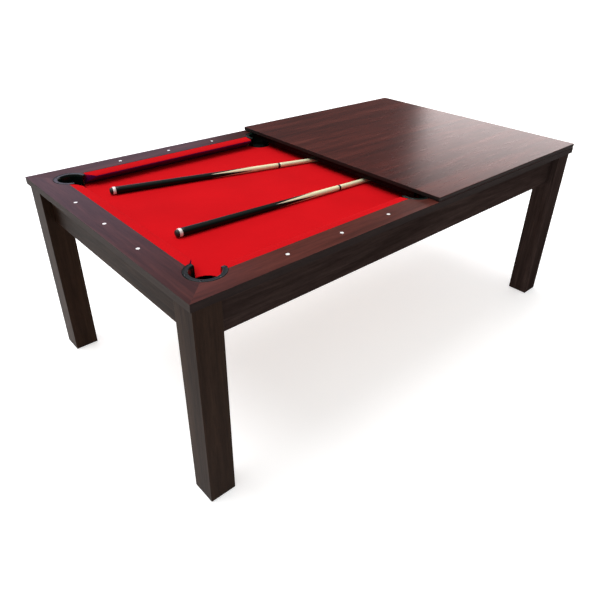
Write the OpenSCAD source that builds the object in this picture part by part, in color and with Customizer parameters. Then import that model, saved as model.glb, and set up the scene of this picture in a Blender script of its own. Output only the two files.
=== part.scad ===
// Pool table that doubles as a dining table. Two mitred long rails and two end rails frame a
// cloth-covered bed with six drop pockets. One half of the lift-off dining top lies on the right
// half of the rails, and two cues lie on the bed with their tips under it.
// Origin: on the floor, at the middle of the table. +X runs along the length towards the covered
// half, -Y is the front long side, +Z is up. All sizes are millimetres.

/* [Table] */
// Length over the rails
table_l = 2140; // [2120:5:2180]
// Width over the rails
table_w = 1204; // [1196:2:1230]
// Height of the rail tops above the floor
rail_top = 796; // [780:1:830]
// Playing length, cushion nose to cushion nose
play_l = 1856; // [1850:2:1860]
// Playing width, cushion nose to cushion nose
play_w = 928; // [924:1:930]
// Rail top above the cloth
bed_drop = 46; // [44:1:50]

/* [Rails and cushions] */
// Thickness of the wooden rail cap
rail_t = 27; // [24:1:30]
// Depth of a cushion from its back to its nose
cushion_d = 43; // [40:1:46]
// Height of the cushion nose above the cloth
nose_h = 36; // [35:0.5:37]
// Distance between two sights along a rail
sight_pitch = 232; // [231:0.5:233]
// Diameter of a rail sight
sight_d = 13; // [10:0.5:15]

/* [Legs and frame] */
// Side of the square leg
leg = 96; // [90:1:98]
// Leg face behind the outer edge of the rail
leg_inset = 9; // [6:1:12]
// Thickness of an apron board
apron_t = 17; // [15:1:17]
// Apron face behind the leg face
apron_inset = 36; // [34:1:36]
// Lower edge of the aprons above the floor
apron_bottom = 626; // [618:1:630]
// Thickness of the bed board
bed_t = 22; // [18:1:24]
// Thickness of the bed cloth
cloth_t = 1; // [0.8:0.1:1.2]

/* [Pockets] */
// Inner radius of the pocket throat
pocket_r = 46; // [45:0.5:48]
// Outer radius of the moulded rim
rim_r = 66; // [65:0.5:68]
// Corner pocket centre outside the crossing of the nose lines
corner_shift = 12; // [10:0.5:13]
// Side pocket centre outside the nose line
side_shift = 24; // [22:0.5:25]
// Rim height above the rail top
rim_proud = 1; // [0.5:0.1:1.4]

/* [Dining top] */
// Thickness of the panel
cover_t = 16; // [14:1:20]
// Length of the panel
cover_l = 1074; // [1070:1:1080]
// Thickness of the spacers under the panel
spacer_t = 2; // [1.5:0.1:3]

/* [Cues] */
// Length of an assembled cue
cue_l = 1450; // [1440:5:1460]
// Radius at the butt end
butt_r = 15; // [14:0.25:15]
// Radius at the tip
tip_r = 6.25; // [6:0.25:6.5]

/* [Hidden] */
$fn = 64;

half_l = table_l / 2;
half_w = table_w / 2;
nose_x = play_l / 2;
nose_y = play_w / 2;
inner_x = nose_x + cushion_d - 1;      // inner edge of the end rail caps
inner_y = nose_y + cushion_d;          // inner edge of the long rail caps
rail_bottom = rail_top - rail_t;
bed_top = rail_top - bed_drop;
board_top = bed_top - cloth_t;
board_bottom = board_top - bed_t;
leg_x = half_l - leg_inset - leg;      // inner faces of the legs
leg_y = half_w - leg_inset - leg;
apron_x = half_l - leg_inset - apron_inset - apron_t;   // inner faces of the aprons
apron_y = half_w - leg_inset - apron_inset - apron_t;
gap = 1;                               // fitting gap between wooden parts
running = 0.1;                         // radial clearance of the levelling screw

// levelling feet
leg_gap = 3;
foot_r = 27;
foot_pad_h = 8;
foot_recess_h = 12;
foot_recess_gap = 4;                   // radial room round a foot pad in its recess
stem_r = 4;
stem_top = 60;
insert_r = 7;
insert_l = 30;
jam_nut_r = 7.5;                       // over the corners
jam_nut_gap = 0.3;                     // air between the jam nut and the insert
insert_z = leg_gap + foot_recess_h;
leg_mid_x = leg_x + leg / 2;
leg_mid_y = leg_y + leg / 2;

// pockets
corner_x = nose_x + corner_shift;
corner_y = nose_y + corner_shift;
side_y = nose_y + side_shift;
wall_r = pocket_r + 4;                 // outside of the liner wall above the bed
neck_r = pocket_r + 3;                 // outside of the liner neck in the bed
bed_hole_r = neck_r + gap;
rim_h = 10;
rim_seat = rail_top + rim_proud - rim_h - 1;
basket_r = wall_r + 1;                 // outside of the basket collar under the bed
bowl_r = 38;
basket_wall = 3;
basket_bottom = 648;
bowl_z = 698;                          // where the basket has narrowed to its bowl
collar_h = 12;                         // straight collar above the taper
rout_gap = 1.5;                        // air between a basket and the routed legs
corner_span = 126;                     // half angle of the rim at a corner pocket
side_span = 107;                       // half angle of the rim at a side pocket
lug_h = 4;
lug_r = 72;
lug_w = 16;
lug_screw_r = 64;
rim_screw_r = 58.5;
small_screw_r = 1.8;
small_head_r = 3.8;
screw_gap = 0.2;                       // radial air round a screw in its hole
rim_screw_angles = [-60, 0, 60];
lug_angles = [130, 180, 230];
seat_gap = 0.4;                        // air round a liner in its rails

// rail bolts
rail_bolt_r = 3.5;
rail_hole_r = rail_bolt_r + 0.3;
rail_bolt_head_r = 7;
rail_bolt_head_h = 5;
rail_bolt_l = 55;
long_bolts_x = [150, 350, 600, 800];
end_bolts_y = [0, 200, 360];
block_y = apron_y - gap;               // outer edges of the bed and faces of its strips
block_x = apron_x - gap;
long_bolt_y = (inner_y + block_y) / 2;
end_bolt_x = (inner_x + block_x) / 2;

// sights
long_sights_x = [for (i = [1 : 3], s = [-1, 1]) s * i * sight_pitch];
end_sights_y = [-sight_pitch, 0, sight_pitch];
sight_x = (inner_x + half_l) / 2 + 2;
sight_y = (inner_y + half_w) / 2 - 2;
sight_h = 3;
sight_proud = 0.3;

// dining top
cover_z = rail_top + spacer_t;
cover_x = half_l - cover_l;

// cues, each lying on the bed: [x and y of the butt end, heading in degrees]
cue_places = [[-853, 331, -13.24], [-853, -159, -3.1]];
cue_lift = 0.3;                        // air under a cue
cue_tilt = atan((butt_r - tip_r) / cue_l);
cue_marks = [0, 11, 22, 725, 735, 1422, 1442];   // where each cue piece starts
pin_r = 4;
pin_reach = 16;

wood = "#3a2422";
steel = "silver";
black = "#161616";
cloth_red = "#d0141a";
maple = "#e2c48e";

// ---------------------------------------------------------------- helpers
module quadrant(sx, sy) {
    mirror([sx < 0 ? 1 : 0, 0, 0]) mirror([0, sy < 0 ? 1 : 0, 0]) children();
}

module each_quadrant() {
    for (sx = [-1, 1], sy = [-1, 1]) quadrant(sx, sy) children();
}

module each_side() {
    for (sy = [-1, 1]) quadrant(1, sy) children();
}

// a box given by its two opposite corners
module block(low, high) {
    translate(low) cube(high - low);
}

// places a corner pocket part, whose own +X points away from the table
module at_corner() {
    translate([corner_x, corner_y, 0]) rotate(45) children();
}

// places a side pocket part, whose own +X points away from the table
module at_side() {
    translate([0, side_y, 0]) rotate(90) children();
}

module every_pocket() {
    each_quadrant() at_corner() children();
    each_side() at_side() children();
}

// ---------------------------------------------------------------- legs, feet and frame
// the room a leg leaves behind its corner basket: narrow beside the bowl, wide beside the collar
module basket_rout() {
    translate([0, 0, basket_bottom - 2 * rout_gap]) cylinder(r = bowl_r + rout_gap, h = rail_top);
    translate([0, 0, bowl_z - rout_gap]) cylinder(r = basket_r + rout_gap, h = rail_top);
}

module leg_post() {
    color(wood) difference() {
        block([leg_x, leg_y, leg_gap], [leg_x + leg, leg_y + leg, rail_bottom]);
        translate([corner_x, corner_y, 0]) basket_rout();
        translate([leg_mid_x, leg_mid_y, 0]) {
            cylinder(r = foot_r + foot_recess_gap, h = insert_z);
            cylinder(r = insert_r, h = insert_z + insert_l);
            cylinder(r = stem_r + gap, h = stem_top + 10);
        }
    }
}

module foot() {
    color(black) translate([leg_mid_x, leg_mid_y, 0]) {
        rotate_extrude() polygon([[0, 0], [foot_r - 2, 0], [foot_r, 2], [foot_r - 1, 5],
                                  [12, foot_pad_h], [0, foot_pad_h]]);
        cylinder(r = stem_r, h = stem_top);
        translate([0, 0, foot_pad_h])
            cylinder(r = jam_nut_r, h = insert_z - jam_nut_gap - foot_pad_h, $fn = 6);
    }
}

module leg_inserts() {
    color("goldenrod") each_quadrant() translate([leg_mid_x, leg_mid_y, insert_z]) difference() {
        cylinder(r = insert_r, h = insert_l);
        translate([0, 0, -1]) cylinder(r = stem_r + running, h = insert_l + 2);
    }
}

module apron_long() {
    color(wood) block([-leg_x, apron_y, apron_bottom], [leg_x, apron_y + apron_t, rail_bottom]);
}

module apron_end() {
    color(wood) block([apron_x, -leg_y, apron_bottom], [apron_x + apron_t, leg_y, rail_bottom]);
}

bracket_t = 3;
bracket_z = 632;
bracket_h = 60;
bracket_arm = 44;                      // plate on the apron
bracket_leg_arm = 28;                  // plate on the leg
bracket_bolts_z = [bracket_z + 15, bracket_z + bracket_h - 15];
apron_bolt_x = -32;                    // bolts along the apron's plate
leg_bolt_y = -15;                      // bolts along the leg's plate
bracket_bolt_r = 3;
bracket_head_r = 5.5;
bracket_head_h = 4;
shank_overlap = 1;                     // how far a shank runs into its own head

// places a cylinder's +Z along -Y on the apron's plate, and along -X on the leg's plate
module at_bracket_bolts() {
    for (z = bracket_bolts_z) {
        translate([apron_bolt_x, 0, z]) rotate([90, 0, 0]) children();
        translate([0, leg_bolt_y, z]) rotate([0, -90, 0]) children();
    }
}

// one angle bracket in the corner between an apron's inner face (y = 0) and a leg face (x = 0)
module angle_bracket() {
    difference() {
        union() {
            block([-bracket_arm, -bracket_t, bracket_z], [0, 0, bracket_z + bracket_h]);
            block([-bracket_t, -bracket_leg_arm, bracket_z], [0, 0, bracket_z + bracket_h]);
        }
        at_bracket_bolts() translate([0, 0, -1])
            cylinder(r = bracket_bolt_r + screw_gap, h = 2 * bracket_t);
    }
}

// cap screws of one bracket: heads on the bracket, shanks through its holes
module angle_bolts() {
    at_bracket_bolts() {
        translate([0, 0, bracket_t]) cylinder(r = bracket_head_r, h = bracket_head_h);
        cylinder(r = bracket_bolt_r, h = bracket_t + shank_overlap);
    }
}

// both brackets of a corner: one on the long apron, one on the end apron
module at_brackets() {
    translate([leg_x, apron_y, 0]) children();
    translate([apron_x, leg_y, 0]) mirror([1, -1, 0]) children();
}

module corner_brackets() {
    color(steel) each_quadrant() at_brackets() angle_bracket();
}

module bracket_bolts() {
    color(steel) each_quadrant() at_brackets() angle_bolts();
}

beam_w = 28;
beam_h = 72;
beams_x = [-700, -230, 230, 700];

// beams across under the bed board
module bed_beams() {
    for (x = beams_x)
        block([x - beam_w / 2, -apron_y, board_bottom - beam_h],
              [x + beam_w / 2, apron_y, board_bottom]);
}

// packing strips between the bed and the rails, ending at the pockets; they back the cushions
module rail_strips() {
    near = wall_r + 2 * gap;
    difference() {
        union() {
            each_quadrant()
                block([near, inner_y, bed_top], [corner_x - near, block_y, rail_bottom]);
            for (sx = [-1, 1]) quadrant(sx, 1)
                block([inner_x, -corner_y + near, bed_top],
                      [block_x, corner_y - near, rail_bottom]);
        }
        rail_bolt_places() cylinder(r = rail_hole_r, h = board_bottom + rail_bolt_l + 1);
    }
}

module bed_timbers() {
    color("#b9935f") {
        bed_beams();
        rail_strips();
    }
}

// ---------------------------------------------------------------- bed
module bed_outline() {
    difference() {
        square([2 * block_x, 2 * block_y], center = true);
        each_quadrant() translate([leg_x - gap, leg_y - gap]) square(leg);
        each_quadrant() translate([corner_x, corner_y]) circle(r = bed_hole_r);
        each_side() translate([0, side_y]) {
            circle(r = bed_hole_r);
            translate([-bed_hole_r, 0]) square(2 * bed_hole_r);
        }
    }
}

module rail_bolt_places() {
    each_quadrant() for (x = long_bolts_x) translate([x, long_bolt_y, 0]) children();
    for (sx = [-1, 1], y = end_bolts_y, s = y == 0 ? [1] : [-1, 1])
        translate([sx * end_bolt_x, s * y, 0]) children();
}

module lug_places() {
    for (a = lug_angles) rotate(a) children();
}

module bed_board() {
    color("#a98052") difference() {
        translate([0, 0, board_bottom]) linear_extrude(bed_t) bed_outline();
        rail_bolt_places() cylinder(r = rail_hole_r, h = rail_top);
        every_pocket() lug_places() translate([lug_screw_r, 0, board_bottom - 1])
            cylinder(r = small_screw_r + screw_gap, h = 15);
    }
}

module bed_cloth() {
    color(cloth_red) difference() {
        translate([0, 0, board_top]) linear_extrude(cloth_t) bed_outline();
        rail_bolt_places() cylinder(r = rail_hole_r, h = rail_top);
    }
}

// ---------------------------------------------------------------- rails
module sight_places() {
    for (x = long_sights_x, s = [-1, 1]) translate([x, s * sight_y, 0]) children();
    for (y = end_sights_y, s = [-1, 1]) translate([s * sight_x, y, 0]) children();
}

// what the rails lose to pockets, bolts, sights and pocket screws
module rail_cuts() {
    every_pocket() {
        translate([0, 0, rim_seat]) cylinder(r = rim_r + seat_gap, h = rail_top);
        translate([0, 0, board_bottom]) cylinder(r = wall_r + seat_gap, h = rail_top);
        for (a = rim_screw_angles) rotate(a) translate([rim_screw_r, 0, rim_seat - 14])
            cylinder(r = small_screw_r + screw_gap, h = 20);
    }
    rail_bolt_places() cylinder(r = rail_hole_r, h = board_bottom + rail_bolt_l + 1);
    sight_places() translate([0, 0, rail_top - sight_h]) cylinder(r = sight_d / 2 + 0.1, h = 10);
}

module rail_long() {
    color(wood) difference() {
        translate([0, 0, rail_bottom]) linear_extrude(rail_t)
            polygon([[-half_l, half_w], [-inner_x, inner_y], [inner_x, inner_y], [half_l, half_w]]);
        rail_cuts();
    }
}

module rail_end() {
    color(wood) difference() {
        translate([0, 0, rail_bottom]) linear_extrude(rail_t)
            polygon([[half_l, -half_w], [inner_x, -inner_y], [inner_x, inner_y], [half_l, half_w]]);
        rail_cuts();
    }
}

module rail_bolts() {
    color(steel) rail_bolt_places() {
        translate([0, 0, board_bottom]) cylinder(r = rail_bolt_r, h = rail_bolt_l);
        translate([0, 0, board_bottom - rail_bolt_head_h])
            cylinder(r = rail_bolt_head_r, h = rail_bolt_head_h);
    }
}

module rail_sights() {
    color("ivory") sight_places() translate([0, 0, rail_top - sight_h])
        cylinder(d = sight_d, h = sight_h + sight_proud);
}

// ---------------------------------------------------------------- cushions
cushion_top = rail_top - 0.5;
cushion_gap = 0.5;                     // air between a cushion and a liner's rim
facing_corner = 40;                    // angle of a cushion's end to its rail at a corner pocket
facing_side = 76;                      // and at a side pocket
nose_z = bed_top + nose_h;
corner_mouth = 82;                     // nose end to the crossing of the nose lines
side_mouth = 66;
corner_run = cushion_d / tan(facing_corner);   // how far the facing runs along the rail
side_run = cushion_d / tan(facing_side);

// section from the nose (x = 0) to the back, height above the floor along y
module cushion_section(depth) {
    polygon([[0, nose_z], [2, nose_z + 3.5], [8, cushion_top - 3], [depth, cushion_top],
             [depth, bed_top + 6], [depth - 8, bed_top + 5], [3, nose_z - 5]]);
}

module cushion_cuts() {
    every_pocket() cylinder(r = rim_r + cushion_gap, h = rail_top + 10);
}

module cushion_long() {
    color(cloth_red) difference() {
        intersection() {
            translate([0, nose_y, 0]) rotate([90, 0, 90])
                linear_extrude(half_l) cushion_section(cushion_d);
            translate([0, 0, bed_top]) linear_extrude(bed_drop)
                polygon([[side_mouth, nose_y], [nose_x - corner_mouth, nose_y],
                         [nose_x - corner_mouth + corner_run, inner_y],
                         [side_mouth - side_run, inner_y]]);
        }
        cushion_cuts();
    }
}

module cushion_end() {
    reach = nose_y - corner_mouth;
    depth = inner_x - nose_x;
    color(cloth_red) difference() {
        intersection() {
            translate([nose_x, half_w, 0]) rotate([90, 0, 0])
                linear_extrude(table_w) cushion_section(depth);
            translate([0, 0, bed_top]) linear_extrude(bed_drop)
                polygon([[nose_x, -reach], [nose_x, reach],
                         [inner_x, reach + corner_run], [inner_x, -reach - corner_run]]);
        }
        cushion_cuts();
    }
}

// ---------------------------------------------------------------- pockets
// moulded liner: an open rim and wall over the rails, and a whole neck through the bed
module liner(span) {
    top = rail_top + rim_proud;
    tongue = 0.6;                      // the wall's root lies inside the neck by this much
    color(black) difference() {
        union() {
            rotate(-span) rotate_extrude(angle = 2 * span)
                polygon([[pocket_r + tongue, bed_top - 6], [neck_r - tongue, bed_top - 6],
                         [neck_r - tongue, bed_top], [wall_r, bed_top],
                         [wall_r, top - rim_h], [rim_r, top - rim_h], [rim_r, top - 3],
                         [rim_r - 2, top], [pocket_r + 6, top], [pocket_r + 2, top - 3],
                         [pocket_r + tongue, top - 8]]);
            rotate_extrude() translate([pocket_r, board_bottom + 1])
                square([neck_r - pocket_r, bed_top - board_bottom - 2]);
        }
        for (a = rim_screw_angles) rotate(a) translate([rim_screw_r, 0, 0]) {
            translate([0, 0, top - rim_h - 1])
                cylinder(r = small_screw_r + screw_gap, h = rim_h + 2);
            translate([0, 0, top - 2]) cylinder(r = 4, h = 3);
        }
    }
}

// ball basket: a tapered bucket under the bed, held by three lugs on the table's side
module basket() {
    color(black) {
        rotate_extrude() polygon([
            [0, basket_bottom], [bowl_r - 14, basket_bottom], [bowl_r - 4, basket_bottom + 5],
            [bowl_r, basket_bottom + 14], [bowl_r, bowl_z], [basket_r, board_bottom - collar_h],
            [basket_r, board_bottom], [basket_r - basket_wall, board_bottom],
            [basket_r - basket_wall, board_bottom - collar_h + 1], [bowl_r - basket_wall, bowl_z],
            [bowl_r - basket_wall, basket_bottom + 16], [bowl_r - 16, basket_bottom + basket_wall],
            [0, basket_bottom + basket_wall]]);
        lug_places() difference() {
            block([basket_r - 1, -lug_w / 2, board_bottom - lug_h],
                  [lug_r, lug_w / 2, board_bottom]);
            translate([lug_screw_r, 0, board_bottom - lug_h - 1])
                cylinder(r = small_screw_r + screw_gap, h = lug_h + 2);
        }
    }
}

module pocket_screws() {
    top = rail_top + rim_proud;
    color(black) every_pocket() {
        for (a = rim_screw_angles) rotate(a) translate([rim_screw_r, 0, 0]) {
            translate([0, 0, top - 2]) cylinder(r = small_head_r, h = 1.6);
            translate([0, 0, top - rim_h - 12]) cylinder(r = small_screw_r, h = rim_h + 11);
        }
        lug_places() translate([lug_screw_r, 0, board_bottom - lug_h]) {
            cylinder(r = small_screw_r, h = lug_h + 12);
            translate([0, 0, -2]) cylinder(r = small_head_r, h = 2);
        }
    }
}

// ---------------------------------------------------------------- dining top
cleat_w = 12;
cleat_h = 15;
seam_cleat_x = 4;                      // set back from the panel's edge
seam_cleat_y = nose_y + 16;            // it ends over the side pockets
seam_cleat_w = 20;
seam_cleat_h = 22;
side_cleat_y = nose_y - 8;             // outer face, clear of the cushion noses
spacers = [[110, half_w - 27], [580, half_w - 27], [half_l - 25, half_w - 27], [half_l - 25, 116]];

module cover_panel() {
    color("#4a2c28") block([cover_x, -half_w, cover_z], [half_l, half_w, cover_z + cover_t]);
}

module cover_cleats() {
    color(black) {
        block([seam_cleat_x, -seam_cleat_y, cover_z - seam_cleat_h],
              [seam_cleat_x + seam_cleat_w, seam_cleat_y, cover_z]);
        each_side() block([70, side_cleat_y - cleat_w, cover_z - cleat_h],
                          [nose_x - 90, side_cleat_y, cover_z]);
        block([nose_x - 8 - cleat_w, -nose_y + 90, cover_z - cleat_h],
              [nose_x - 8, nose_y - 90, cover_z]);
    }
}

module cover_spacers() {
    color("dimgray") each_side() for (p = spacers)
        translate([p[0], p[1], rail_top]) cylinder(r = 10, h = spacer_t);
}

// ---------------------------------------------------------------- cues
function cue_r(s) = butt_r + (tip_r - butt_r) * s / cue_l;

// places a cue whose own +X runs from the butt end to the tip
module at_cue(i) {
    p = cue_places[i];
    translate([p[0], p[1], bed_top + cue_lift + butt_r / cos(cue_tilt)])
        rotate([0, 0, p[2]]) rotate([0, cue_tilt, 0]) children();
}

// a tapered length of cue from s0 to s1, with an optional bore for the joint pin at either end
module cue_length(s0, s1, bore_at = -1) {
    rotate([0, 90, 0]) difference() {
        rotate_extrude() polygon([[0, s0], [cue_r(s0), s0], [cue_r(s1), s1], [0, s1]]);
        if (bore_at >= 0)
            translate([0, 0, bore_at - pin_reach]) cylinder(r = pin_r, h = 2 * pin_reach);
    }
}

module cue_bumper(i) {
    end = cue_marks[1];
    color("#202020") at_cue(i) rotate([0, 90, 0])
        rotate_extrude() polygon([[0, 0], [9, 0], [11.5, 1.5], [12.5, 5], [12.5, end], [0, end]]);
}

module cue_ring(i) {
    color("white") at_cue(i) cue_length(cue_marks[1], cue_marks[2]);
}

module cue_butt(i) {
    color("#1b1b1d") at_cue(i) cue_length(cue_marks[2], cue_marks[3], cue_marks[3]);
}

module cue_collar(i) {
    color("#303030") at_cue(i) {
        cue_length(cue_marks[3], cue_marks[4]);
        translate([cue_marks[3] - pin_reach, 0, 0]) rotate([0, 90, 0])
            cylinder(r = pin_r, h = cue_marks[4] - cue_marks[3] + 2 * pin_reach);
    }
}

module cue_shaft(i) {
    color(maple) at_cue(i) cue_length(cue_marks[4], cue_marks[5], cue_marks[4]);
}

module cue_ferrule(i) {
    color("ivory") at_cue(i) cue_length(cue_marks[5], cue_marks[6]);
}

module cue_tip(i) {
    start = cue_marks[6];
    color("steelblue") at_cue(i) rotate([0, 90, 0]) rotate_extrude()
        polygon([[0, start], [tip_r, start], [tip_r, cue_l - 3], [tip_r - 2, cue_l - 1],
                 [0, cue_l]]);
}

// ---------------------------------------------------------------- what is drawn
quadrant(-1, -1) leg_post();  // leg_front_left
quadrant(1, -1) leg_post();  // leg_front_right
quadrant(-1, 1) leg_post();  // leg_back_left
quadrant(1, 1) leg_post();  // leg_back_right
quadrant(-1, -1) foot();  // foot_front_left
quadrant(1, -1) foot();  // foot_front_right
quadrant(-1, 1) foot();  // foot_back_left
quadrant(1, 1) foot();  // foot_back_right
leg_inserts();
quadrant(1, -1) apron_long();  // apron_front
quadrant(1, 1) apron_long();  // apron_back
quadrant(-1, 1) apron_end();  // apron_left
quadrant(1, 1) apron_end();  // apron_right
corner_brackets();
bracket_bolts();
bed_timbers();
bed_board();
bed_cloth();
quadrant(1, -1) rail_long();  // rail_front
quadrant(1, 1) rail_long();  // rail_back
quadrant(-1, 1) rail_end();  // rail_left
quadrant(1, 1) rail_end();  // rail_right
rail_bolts();
rail_sights();
quadrant(-1, -1) cushion_long();  // cushion_front_left
quadrant(1, -1) cushion_long();  // cushion_front_right
quadrant(-1, 1) cushion_long();  // cushion_back_left
quadrant(1, 1) cushion_long();  // cushion_back_right
quadrant(-1, 1) cushion_end();  // cushion_left
quadrant(1, 1) cushion_end();  // cushion_right
quadrant(-1, -1) at_corner() liner(corner_span);  // liner_front_left
quadrant(1, -1) at_corner() liner(corner_span);  // liner_front_right
quadrant(-1, 1) at_corner() liner(corner_span);  // liner_back_left
quadrant(1, 1) at_corner() liner(corner_span);  // liner_back_right
quadrant(1, -1) at_side() liner(side_span);  // liner_front_side
quadrant(1, 1) at_side() liner(side_span);  // liner_back_side
quadrant(-1, -1) at_corner() basket();  // basket_front_left
quadrant(1, -1) at_corner() basket();  // basket_front_right
quadrant(-1, 1) at_corner() basket();  // basket_back_left
quadrant(1, 1) at_corner() basket();  // basket_back_right
quadrant(1, -1) at_side() basket();  // basket_front_side
quadrant(1, 1) at_side() basket();  // basket_back_side
pocket_screws();
cover_panel();
cover_cleats();
cover_spacers();
cue_bumper(0);  // cue_1_bumper
cue_ring(0);  // cue_1_ring
cue_butt(0);  // cue_1_butt
cue_collar(0);  // cue_1_collar
cue_shaft(0);  // cue_1_shaft
cue_ferrule(0);  // cue_1_ferrule
cue_tip(0);  // cue_1_tip
cue_bumper(1);  // cue_2_bumper
cue_ring(1);  // cue_2_ring
cue_butt(1);  // cue_2_butt
cue_collar(1);  // cue_2_collar
cue_shaft(1);  // cue_2_shaft
cue_ferrule(1);  // cue_2_ferrule
cue_tip(1);  // cue_2_tip
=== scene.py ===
"""Looks of a pool table with a lift-off half dining top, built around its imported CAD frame.

Everything is in metres in the frame's own axes: +X towards the covered half, -Y the front long
side, +Z up. Places come from the frame's boxes, so they follow the CAD.
"""
import math

import bmesh
import bpy
from mathutils import Matrix, Vector


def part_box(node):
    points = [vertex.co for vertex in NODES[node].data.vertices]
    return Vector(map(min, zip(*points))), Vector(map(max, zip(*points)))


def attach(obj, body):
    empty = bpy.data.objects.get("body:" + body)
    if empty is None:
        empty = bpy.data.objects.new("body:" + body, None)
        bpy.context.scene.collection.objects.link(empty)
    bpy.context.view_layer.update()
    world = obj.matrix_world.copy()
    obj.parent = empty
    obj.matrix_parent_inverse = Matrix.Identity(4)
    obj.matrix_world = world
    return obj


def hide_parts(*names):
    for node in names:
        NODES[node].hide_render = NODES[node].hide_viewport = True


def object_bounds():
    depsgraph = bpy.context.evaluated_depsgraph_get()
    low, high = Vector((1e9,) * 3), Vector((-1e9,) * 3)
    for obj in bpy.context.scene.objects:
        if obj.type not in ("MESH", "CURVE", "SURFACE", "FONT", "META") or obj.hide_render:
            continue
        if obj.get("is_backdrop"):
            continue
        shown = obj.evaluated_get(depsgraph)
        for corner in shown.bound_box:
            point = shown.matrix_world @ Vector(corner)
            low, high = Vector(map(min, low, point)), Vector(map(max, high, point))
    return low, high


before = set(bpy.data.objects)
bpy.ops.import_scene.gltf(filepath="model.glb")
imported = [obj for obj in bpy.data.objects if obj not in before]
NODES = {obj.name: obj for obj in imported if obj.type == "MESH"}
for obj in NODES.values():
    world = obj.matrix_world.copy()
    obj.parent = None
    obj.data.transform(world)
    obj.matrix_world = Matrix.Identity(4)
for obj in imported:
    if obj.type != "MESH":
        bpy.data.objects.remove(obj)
CAD_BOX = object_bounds()
MM = 0.001

# ---------------- places read from the frame
RAIL_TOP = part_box("rail_back")[1].z
BED_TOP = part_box("bed_cloth")[1].z
BOARD_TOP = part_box("bed_cloth")[0].z
BOARD_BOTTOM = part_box("bed_board")[0].z
RIM_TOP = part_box("liner_back_right")[1].z
NECK_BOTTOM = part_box("liner_back_right")[0].z
NOSE_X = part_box("cushion_right")[0].x
NOSE_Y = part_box("cushion_back_right")[0].y
CAP_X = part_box("cushion_right")[1].x
CAP_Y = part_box("cushion_back_right")[1].y
BASKET_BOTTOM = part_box("basket_back_right")[0].z

# sizes that the boxes don't give
NOSE_Z = BED_TOP + 36 * MM
RIM_R = 66 * MM  # a pocket liner's rim, outside
WALL_R = 50 * MM  # its wall, outside
NECK_R = 49 * MM  # its neck below the bed, outside
THROAT_R = 46 * MM  # the opening through it
RIM_SCREW_R = 58.5 * MM  # circle of the screws in the rim
CORNER_SPAN = math.radians(126)  # how far a rim runs to each side of its middle
SIDE_SPAN = math.radians(107)
HOLE_R = 50 * MM  # a cut-out of the bed cloth
COLLAR_R = 51 * MM  # a ball basket's collar and bowl, outside
BOWL_R = 38 * MM
LUG_SCREW_R = 64 * MM  # circle of the screws in a basket's lugs

CORNER_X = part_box("liner_back_right")[1].x - RIM_R
CORNER_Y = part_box("liner_back_right")[1].y - RIM_R
SIDE_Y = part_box("liner_back_side")[1].y - RIM_R

CORNERS = ("front_left", "front_right", "back_left", "back_right")
# pocket name: centre and the direction that points away from the table
POCKETS = {
    "front_left": (-CORNER_X, -CORNER_Y, math.radians(225)),
    "front_right": (CORNER_X, -CORNER_Y, math.radians(315)),
    "back_left": (-CORNER_X, CORNER_Y, math.radians(135)),
    "back_right": (CORNER_X, CORNER_Y, math.radians(45)),
    "front_side": (0.0, -SIDE_Y, math.radians(270)),
    "back_side": (0.0, SIDE_Y, math.radians(90)),
}


# ---------------- mesh helpers
SAME_POINT = 1e-6
SPLIT_CORNER = 1e-5
FLAT_ANGLE = math.radians(0.5)
CAD_EDGE_ANGLE = math.radians(35)
NEW_EDGE_ANGLE = math.radians(40)


def new_object(name, mesh):
    obj = bpy.data.objects.new(name, mesh)
    bpy.context.scene.collection.objects.link(obj)
    return obj


def finish_mesh(name, bm, smooth_angle):
    """Turns a bmesh into an object with outward normals, smooth where edges are soft."""
    bmesh.ops.remove_doubles(bm, verts=bm.verts, dist=SAME_POINT)
    bmesh.ops.recalc_face_normals(bm, faces=bm.faces)
    mesh = bpy.data.meshes.new(name)
    bm.to_mesh(mesh)
    bm.free()
    mesh.shade_smooth()
    mesh.set_sharp_from_angle(angle=math.radians(smooth_angle))
    return new_object(name, mesh)


def bevel(obj, width, segments=2):
    """Welds a CAD mesh's split corners and rounds its edges, without touching the mesh itself."""
    weld = obj.modifiers.new("weld", "WELD")
    weld.merge_threshold = SPLIT_CORNER
    flat = obj.modifiers.new("flat", "DECIMATE")
    flat.decimate_type = "DISSOLVE"
    flat.angle_limit = FLAT_ANGLE
    edge = obj.modifiers.new("bevel", "BEVEL")
    edge.width = width
    edge.segments = segments
    edge.limit_method = "ANGLE"
    edge.angle_limit = CAD_EDGE_ANGLE
    edge.face_strength_mode = "FSTR_ALL"
    edge.loop_slide = False
    normal = obj.modifiers.new("normal", "WEIGHTED_NORMAL")
    normal.use_face_influence = True
    return obj


def soften(obj, width):
    """A narrow bevel along a new piece's sharp edges."""
    edge = obj.modifiers.new("edge", "BEVEL")
    edge.width = width
    edge.segments = 2
    edge.limit_method = "ANGLE"
    edge.angle_limit = NEW_EDGE_ANGLE


def dress(obj, material):
    """A carried CAD node's finish in place of its plain one."""
    obj.data.materials.clear()
    obj.data.materials.append(material)


def place(obj, body, replaced, material, slot):
    """A new piece's material, body and replaced CAD nodes; slot is not used."""
    obj.data.materials.append(material)
    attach(obj, body)
    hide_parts(*replaced)


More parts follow.
